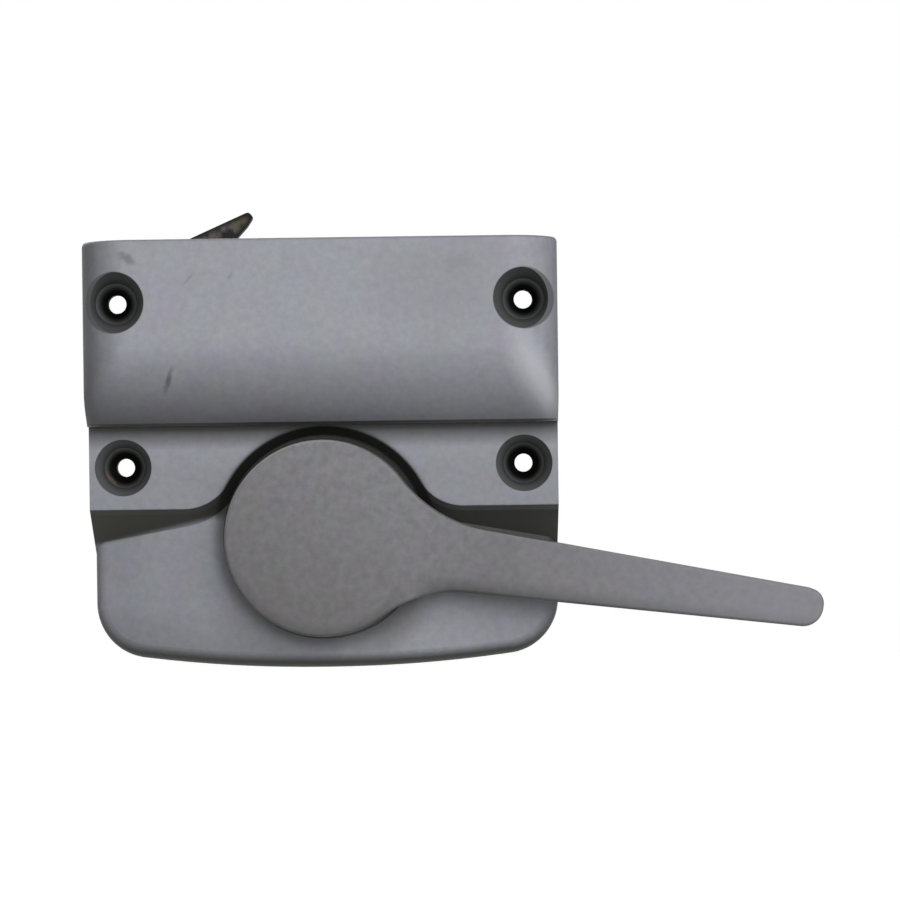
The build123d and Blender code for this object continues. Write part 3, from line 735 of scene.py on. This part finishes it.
def shade_step(tree, spot, place, base):
    """Painted shade on the sloped step, in the gap and on a ring round the hub, and in the trough along
    the step's foot.
    """
    normal = add_node(tree, "ShaderNodeNewGeometry", (-1800, 1700)).outputs["Normal"]
    facing = separate(tree, normal, (-1600, 1700))["Y"]
    sloped = span(tree, (-1300, 1800), facing, *STEP_SLOPE)
    forward = span(tree, (-1300, 1650), facing, *STEP_FORWARD, 1.0, 0.0)
    below = math_node(tree, "LESS_THAN", (-1300, 1500), spot["Z"], BLOCK_FOOT_Z)

    outward = math_node(tree, "ABSOLUTE", (-1500, 2300), spot["X"])
    past = math_node(tree, "SUBTRACT", (-1400, 2300), outward, TROUGH_X)
    past = math_node(tree, "MAXIMUM", (-1300, 2300), past, 0.0)
    fall = math_node(tree, "MULTIPLY", (-1200, 2300), past, TROUGH_FALL)
    right = math_node(tree, "SUBTRACT", (-1500, 2450), spot["X"], TROUGH_X)
    right = math_node(tree, "MAXIMUM", (-1400, 2450), right, 0.0)
    right = math_node(tree, "MULTIPLY", (-1300, 2450), right, TROUGH_RIGHT_FALL)
    fall = math_node(tree, "ADD", (-1150, 2400), fall, right)
    height = math_node(tree, "ADD", (-1100, 2300), spot["Z"], fall)
    height = math_node(tree, "SUBTRACT", (-1000, 2300), height, TROUGH_Z)
    trough = span(tree, (-900, 2300), height, *TROUGH_DEPTH, 0.0, TROUGH_SHADE)
    ahead = math_node(tree, "LESS_THAN", (-900, 2150), facing, FRONT_FACING)
    trough = math_node(tree, "MULTIPLY", (-800, 2300), trough, ahead)
    in_trough = math_node(tree, "GREATER_THAN", (-900, 2000), spot["Y"], TROUGH_FRONT_Y)
    trough = math_node(tree, "MULTIPLY", (-750, 2300), trough, in_trough)
    base = mix_colour(tree, (-700, 2300), trough, base, PAINTED_SHADE)

    flank = math_node(tree, "MULTIPLY", (-1100, 1750), sloped, forward)
    flank = math_node(tree, "MULTIPLY", (-1000, 1650), flank, below)
    above_foot = span(tree, (-1000, 1850), height, *STEP_FOOT)
    flank = math_node(tree, "MULTIPLY", (-900, 1750), flank, above_foot)
    sideways = span(tree, (-1000, 2000), spot["X"], *STEP_X, *STEP_SHARE)
    flank = math_node(tree, "MULTIPLY", (-850, 1850), flank, sideways)
    flank = math_node(tree, "MULTIPLY", (-800, 1650), flank, STEP_SHADE)
    base = mix_colour(tree, (-700, 1650), flank, base, STEP_SHADE_TONE)

    ring = round_mask(tree, place, 2900, HUB_CENTRE, HUB_RING)
    thickness = span(tree, (-1300, 3050), spot["Z"], *HUB_RING_Z, *HUB_RING_SHADE)
    ring = math_node(tree, "MULTIPLY", (-1000, 2950), ring, thickness)
    ring = math_node(tree, "MULTIPLY", (-900, 2950), ring, ahead)
    ring = math_node(tree, "MULTIPLY", (-800, 2950), ring, below)
    base = mix_colour(tree, (-700, 2950), ring, base, PAINTED_SHADE)

    gap = round_mask(tree, place, 2600, HUB_CENTRE, ARCH_GAP)
    outside = math_node(tree, "LESS_THAN", (-1300, 2850), facing, GAP_FACING)
    gap = math_node(tree, "MULTIPLY", (-1100, 2750), gap, outside)
    raised = span(tree, (-1300, 2750), spot["Z"], *ARCH_FOOT_Z)
    gap = math_node(tree, "MULTIPLY", (-1000, 2650), gap, raised)
    gap = math_node(tree, "MULTIPLY", (-900, 2650), gap, below)
    return mix_colour(tree, (-700, 2650), gap, base, GAP_SHADE_TONE)


def shade_bores(tree, shader, place, base):
    """Screw holes: painted shade in the mouths that goes black towards the screw's seat, and black seats
    made metallic so that they reflect nothing.
    """
    rows = ((1, UPPER_MOUTH, UPPER_SEAT), (-1, LOWER_MOUTH, LOWER_SEAT))
    level = 3000
    black = None
    for side in (-1, 1):
        for row, mouth, seat_radii in rows:
            centre = (side * SCREW_X, 0.0, row * SCREW_Z)
            rim = round_mask(tree, place, level, centre, mouth)
            base = mix_colour(tree, (-700, level), rim, base, MOUTH_SHADE_TONE)
            seat = round_mask(tree, place, level + 200, centre, seat_radii)
            base = mix_colour(tree, (-700, level + 200), seat, base, BORE_SHADE_TONE)
            if black is not None:
                seat = math_node(tree, "MAXIMUM", (-500, level + 200), black, seat)
            black = seat
            level += 400
    tree.links.new(black, shader.inputs["Metallic"])
    return base


def housing_material(colour, grain_size):
    """Housing paint: painted shade on the roll, crease, step and screw holes, a painted highlight and a
    painted shadow, and the marks of use.
    """
    material, tree, shader, place = fresh_material("housing_paint")
    grain, base = paint_base(tree, place, colour, grain_size, HOUSING_MOTTLE)
    spot = separate(tree, place, (-1600, -300))
    base = lay_marks(tree, place, base, HOUSING_MARKS)
    base = shade_block(tree, spot, base)
    base = shade_lower_half(tree, spot, base)
    base = lay_marks(tree, place, base, PANEL_SHADOW_MARKS, PANEL_MARK_FRONT_Y)
    base = shade_step(tree, spot, place, base)
    base = shade_bores(tree, shader, place, base)
    base = lay_marks(tree, place, base, BORE_MARKS, PANEL_MARK_FRONT_Y)
    base = shade_corners(tree, base, *HOUSING_CORNER)
    finish_paint(tree, shader, base, grain)
    return material


def shade_arm_edge(tree, spot, base):
    """Painted shade along the arm's lower edge, in a strip that narrows towards the tip."""
    across = math_node(tree, "MULTIPLY", (-1300, 1700), spot["X"], ARM_EDGE_LINE[0])
    up = math_node(tree, "MULTIPLY", (-1300, 1550), spot["Z"], ARM_EDGE_LINE[1])
    height = math_node(tree, "ADD", (-1100, 1650), across, up)
    height = math_node(tree, "ADD", (-1000, 1650), height, ARM_EDGE_LINE[2])
    width = span(tree, (-1100, 1450), spot["X"], *ARM_EDGE_X, *ARM_EDGE_WIDTH)
    depth = math_node(tree, "DIVIDE", (-900, 1600), height, width)
    depth = math_node(tree, "SUBTRACT", (-800, 1600), 1.0, depth, clamp=True)
    depth = math_node(tree, "MULTIPLY", (-700, 1600), depth, depth)
    start = span(tree, (-1100, 1300), spot["X"], *ARM_EDGE_START_X, 0.0, ARM_EDGE_SHADE)
    painted_dark = math_node(tree, "MULTIPLY", (-600, 1500), depth, start)
    return mix_colour(tree, (-500, 1400), painted_dark, base, PAINTED_SHADE)


def shade_and_highlight_hub_edge(tree, spot, place, base):
    """Hub edge: painted shade round the bottom and a painted highlight on the upper left."""
    inner = round_mask(tree, place, 2000, HUB_CENTRE, (HUB_EDGE[1], HUB_EDGE[0]))
    outer = math_node(tree, "SUBTRACT", (-1000, 2000), 1.0, inner)
    low = span(tree, (-1000, 1900), spot["Z"], *HUB_EDGE_Z, 0.0, HUB_EDGE_SHADE)
    near_hub = span(tree, (-1000, 1800), spot["X"], *HUB_EDGE_X, 1.0, 0.0)
    painted_dark = math_node(tree, "MULTIPLY", (-800, 2000), outer, low)
    painted_dark = math_node(tree, "MULTIPLY", (-700, 1900), painted_dark, near_hub)
    base = mix_colour(tree, (-600, 2000), painted_dark, base, PAINTED_SHADE)
    normal = add_node(tree, "ShaderNodeNewGeometry", (-1600, 2400)).outputs["Normal"]
    facing = separate(tree, normal, (-1400, 2400))
    across = math_node(tree, "MULTIPLY", (-1200, 2450), facing["X"], RIM_DIRECTION[0])
    up = math_node(tree, "MULTIPLY", (-1200, 2300), facing["Z"], RIM_DIRECTION[1])
    turned = math_node(tree, "ADD", (-1000, 2400), across, up)
    painted_light = span(tree, (-900, 2400), turned, *RIM_FACING, 0.0, RIM_HIGHLIGHT)
    at_front = math_node(tree, "LESS_THAN", (-900, 2250), spot["Y"], RIM_FRONT_Y)
    painted_light = math_node(tree, "MULTIPLY", (-700, 2350), painted_light, at_front)
    return mix_colour(tree, (-600, 2350), painted_light, base, RIM_HIGHLIGHT_TONE)


def handle_material(colour, grain_size):
    """Lever paint: darker, with painted shade low on the hub and along its edges, and painted light
    towards the tip.
    """
    material, tree, shader, place = fresh_material("handle_paint")
    grain, base = paint_base(tree, place, colour, grain_size, HANDLE_MOTTLE)
    spot = separate(tree, place, (-1600, -300))
    # painted shade, darkest at the hub's lower left and at the arm's root
    across = math_node(tree, "MULTIPLY", (-1300, 1100), spot["X"], HUB_SHADE_DIRECTION[0])
    up = math_node(tree, "MULTIPLY", (-1300, 950), spot["Z"], HUB_SHADE_DIRECTION[1])
    along = math_node(tree, "ADD", (-1100, 1000), across, up)
    hub_shaded = span(tree, (-900, 1000), along, *HUB_SHADE_SPAN, HUB_SHADE_STRENGTH, 0.0)
    base = mix_colour(tree, (-700, 1000), hub_shaded, base, HUB_SHADE_TONE)
    root = span(tree, (-900, 900), spot["X"], *ARM_ROOT_X, 0.0, ARM_ROOT_SHADE)
    base = mix_colour(tree, (-700, 900), root, base, HUB_SHADE_TONE)
    base = shade_arm_edge(tree, spot, base)
    base = shade_and_highlight_hub_edge(tree, spot, place, base)
    # painted light, in a slightly bluer tone, towards the arm's tip
    painted_light = span(tree, (-900, 800), spot["X"], *ARM_TIP_LIGHT_X, 0.0, ARM_TIP_LIGHT)
    base = mix_colour(tree, (-700, 800), painted_light, base, ARM_TIP_LIGHT_TONE)
    base = lay_marks(tree, place, base, HANDLE_MARKS)
    base = shade_corners(tree, base, *HANDLE_CORNER)
    finish_paint(tree, shader, base, grain)
    return material


def plated_material(colour):
    """Dull zinc plate: blotchy tone, dark specks and uneven gloss."""
    material, tree, shader, place = fresh_material("plated_steel")
    grain = place_group(tree, grain_group(), (-1300, 0), **PLATE_GRAIN)
    tree.links.new(place, grain.inputs["Place"])
    mottle = span(tree, (-1000, 100), grain.outputs["Mottle"], *PLATE_BLOTCH)
    dark = shade(colour, PLATE_SHADE[0])
    light = shade(colour, PLATE_SHADE[1])
    base = mix_colour(tree, (-700, 100), mottle, dark, light)
    speck = span(tree, (-1000, -200), grain.outputs["Speck"], *PLATE_SPECK, 0.0, PLATE_SPECK_SHARE)
    base = mix_colour(tree, (-400, 100), speck, base, shade(colour, PLATE_SPECK_SHADE))
    tree.links.new(base, shader.inputs["Base Color"])
    gloss = span(tree, (-400, -200), grain.outputs["Mottle"], *NOISE_RANGE, *PLATE_GLOSS)
    tree.links.new(gloss, shader.inputs["Roughness"])
    add_skin(tree, shader, grain, (0, -350), PLATE_SKIN)
    shader.inputs["Metallic"].default_value = PLATE_METALLIC
    return material


def browned_material(colour):
    """Browned steel: black edges and blotches between grey-violet and brown."""
    material, tree, shader, place = fresh_material("hook_steel")
    grain = place_group(tree, grain_group(), (-1300, 0), **BROWN_GRAIN)
    tree.links.new(place, grain.inputs["Place"])
    tint = span(tree, (-1000, 300), grain.outputs["Tint"], *BROWN_RANGE)
    base = mix_colour(tree, (-700, 300), tint, BROWN_TONE, VIOLET_TONE)
    base = mix_colour(tree, (-600, 200), BROWN_SHARE, base, colour)
    mottle = span(tree, (-1000, 100), grain.outputs["Mottle"], *BURNT_BLOTCH, BURNT_SHARE, 0.0)
    base = mix_colour(tree, (-400, 200), mottle, base, BURNT_TONE)
    inside = add_node(tree, "ShaderNodeAmbientOcclusion", (-600, -300), inside=True, only_local=True)
    inside.samples = CORNER_SAMPLES
    inside.inputs["Distance"].default_value = BURNT_EDGE
    rim = span(tree, (-400, -300), inside.outputs["AO"], *BURNT_INSIDE, BURNT_SHARE, 0.0)
    base = mix_colour(tree, (-100, 200), rim, base, BURNT_TONE)
    tree.links.new(base, shader.inputs["Base Color"])
    gloss = span(tree, (-400, -100), grain.outputs["Mottle"], *NOISE_RANGE, *BROWN_GLOSS)
    tree.links.new(gloss, shader.inputs["Roughness"])
    add_skin(tree, shader, grain, (0, -350), BROWN_SKIN)
    shader.inputs["Specular IOR Level"].default_value = BROWN_SPECULAR
    return material


def coat(node, material):
    """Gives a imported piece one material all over."""
    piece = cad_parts[node]
    piece.data.materials.clear()
    piece.data.materials.append(material)
    return piece


class SASHLOCK_OT_paint_housing(bpy.types.Operator):
    """Paint the housing with satin metallic grey and its marks of use"""

    bl_idname = "sashlock.paint_housing"
    bl_label = "Paint housing"

    def execute(self, context):
        paint = context.scene.sashlock_paint
        coat("housing", housing_material(tuple(paint.housing_colour), paint.grain_size))
        return {"FINISHED"}


class SASHLOCK_OT_paint_handle(bpy.types.Operator):
    """Paint the lever with the darker handled grey"""

    bl_idname = "sashlock.paint_handle"
    bl_label = "Paint handle"

    def execute(self, context):
        paint = context.scene.sashlock_paint
        coat("handle", handle_material(tuple(paint.handle_colour), paint.grain_size))
        return {"FINISHED"}


class SASHLOCK_OT_brown_hook(bpy.types.Operator):
    """Brown the stamped hook"""

    bl_idname = "sashlock.brown_hook"
    bl_label = "Brown hook"

    def execute(self, context):
        paint = context.scene.sashlock_paint
        coat("hook", browned_material(tuple(paint.hook_colour)))
        return {"FINISHED"}


class SASHLOCK_OT_plate_mechanism(bpy.types.Operator):
    """Zinc plate the crank, link, pins and washers"""

    bl_idname = "sashlock.plate_mechanism"
    bl_label = "Plate mechanism"

    def execute(self, context):
        paint = context.scene.sashlock_paint
        plated = plated_material(tuple(paint.plate_colour))
        for node in PLATED_NODES:
            coat(node, plated)
        return {"FINISHED"}


def seen_or_mirrored(tree, place):
    """One where a ray comes from the camera, a mirror or glass, and nought where it carries light."""
    across, up = place
    rays = add_node(tree, "ShaderNodeLightPath", place).outputs
    seen = math_node(tree, "MAXIMUM", (across + 200, up), rays["Is Camera Ray"], rays["Is Glossy Ray"])
    return math_node(tree, "MAXIMUM", (across + 400, up), seen, rays["Is Transmission Ray"])


def floor_material(name):
    """Pale floor that looks white, takes the lock's shadow and throws little light back up."""
    material, tree, shader, _place = fresh_material(name)
    shader.inputs["Roughness"].default_value = FLOOR_ROUGHNESS
    shader.inputs["Specular IOR Level"].default_value = FLOOR_SPECULAR
    seen = seen_or_mirrored(tree, (-600, -200))
    tone = mix_colour(tree, (200, 100), seen, FLOOR_LIT, FLOOR_SEEN)
    tree.links.new(tone, shader.inputs["Base Color"])
    glow = mix_colour(tree, (200, -200), seen, BLACK, FLOOR_GLOW)
    tree.links.new(glow, shader.inputs["Emission Color"])
    shader.inputs["Emission Strength"].default_value = 1.0
    return material


def white_world(scene, ambient):
    """A world that is white where it is seen and a soft grey where it lights."""
    world = bpy.data.worlds.new("white_sky")
    world.use_nodes = True
    tree = world.node_tree
    tree.nodes.clear()
    output = add_node(tree, "ShaderNodeOutputWorld", (600, 0))
    sky = add_node(tree, "ShaderNodeBackground", (400, 0))
    seen = seen_or_mirrored(tree, (-600, 0))
    tone = mix_colour(tree, (200, 0), seen, shade(WHITE, ambient), WHITE)
    tree.links.new(tone, sky.inputs["Color"])
    tree.links.new(sky.outputs["Background"], output.inputs["Surface"])
    scene.world = world


def add_lamp(name, place, size, power):
    """A square area lamp turned towards the middle of the screw pattern."""
    light = bpy.data.lights.new(name, "AREA")
    light.shape = "SQUARE"
    light.size = size
    light.energy = power
    lamp = bpy.data.objects.new(name, light)
    lamp.location = place
    heading = -lamp.location
    lamp.rotation_euler = heading.to_track_quat("-Z", "Y").to_euler()
    lamp.visible_camera = False
    bpy.context.scene.collection.objects.link(lamp)
    return lamp


class SASHLOCK_OT_set_stage(bpy.types.Operator):
    """Lay the floor, hang the lamps and place the camera"""

    bl_idname = "sashlock.set_stage"
    bl_label = "Set stage"

    def execute(self, context):
        scene = context.scene
        stage = scene.sashlock_stage
        bpy.ops.object.select_all(action="DESELECT")
        bpy.ops.mesh.primitive_circle_add(
            vertices=FLOOR_SIDES,
            radius=FLOOR_RADIUS,
            fill_type="NGON",
            location=(0.0, 0.0, -stage.floor_drop),
        )
        floor = context.object
        floor.name = "floor"
        bpy.ops.object.transform_apply(location=True, rotation=False, scale=False)
        floor.data.materials.append(floor_material("pale_floor"))

        white_world(scene, stage.ambient)
        for name, place, size, setting in LAMPS:
            add_lamp(name, place, size, getattr(stage, setting))

        camera_data = bpy.data.cameras.new("camera")
        camera_data.sensor_width = SENSOR_WIDTH
        camera_data.lens = SENSOR_WIDTH * stage.camera_distance / stage.view_width
        camera_data.clip_start = CLIP_START
        camera = bpy.data.objects.new("camera", camera_data)
        camera.location = (stage.camera_x, -stage.camera_distance, stage.camera_z)
        camera.rotation_euler = (math.radians(90.0), stage.camera_roll, 0.0)
        scene.collection.objects.link(camera)
        scene.camera = camera
        scene.view_settings.view_transform = "Standard"
        return {"FINISHED"}


class SASHLOCK_PT_panel(bpy.types.Panel):
    """Lists the steps that finish the sash lock"""

    bl_label = "Sash lock"
    bl_idname = "SASHLOCK_PT_panel"
    bl_space_type = "VIEW_3D"
    bl_region_type = "UI"
    bl_category = "Sash lock"

    def draw(self, context):
        layout = self.layout
        for name in ("housing_colour", "handle_colour", "hook_colour", "plate_colour", "grain_size"):
            layout.prop(context.scene.sashlock_paint, name)
        for name in ("camera_distance", "floor_drop", "key_power", "front_power", "back_power", "ambient"):
            layout.prop(context.scene.sashlock_stage, name)
        for step in STEPS:
            layout.operator(step.bl_idname)


STEPS = (
    SASHLOCK_OT_paint_housing,
    SASHLOCK_OT_paint_handle,
    SASHLOCK_OT_brown_hook,
    SASHLOCK_OT_plate_mechanism,
    SASHLOCK_OT_set_stage,
)
CLASSES = (PaintSettings, StageSettings, *STEPS, SASHLOCK_PT_panel)


def register():
    """Register the classes and hang their settings on the scene."""
    for cls in CLASSES:
        bpy.utils.register_class(cls)
    bpy.types.Scene.sashlock_paint = bpy.props.PointerProperty(type=PaintSettings)
    bpy.types.Scene.sashlock_stage = bpy.props.PointerProperty(type=StageSettings)


def unregister():
    """Take the settings off the scene and unregister the classes."""
    del bpy.types.Scene.sashlock_stage
    del bpy.types.Scene.sashlock_paint
    for cls in reversed(CLASSES):
        bpy.utils.unregister_class(cls)


def main():
    """Run every step in order."""
    register()
    bpy.ops.sashlock.paint_housing()
    bpy.ops.sashlock.paint_handle()
    bpy.ops.sashlock.brown_hook()
    bpy.ops.sashlock.plate_mechanism()
    bpy.ops.sashlock.set_stage()


if __name__ == "__main__":
    main()
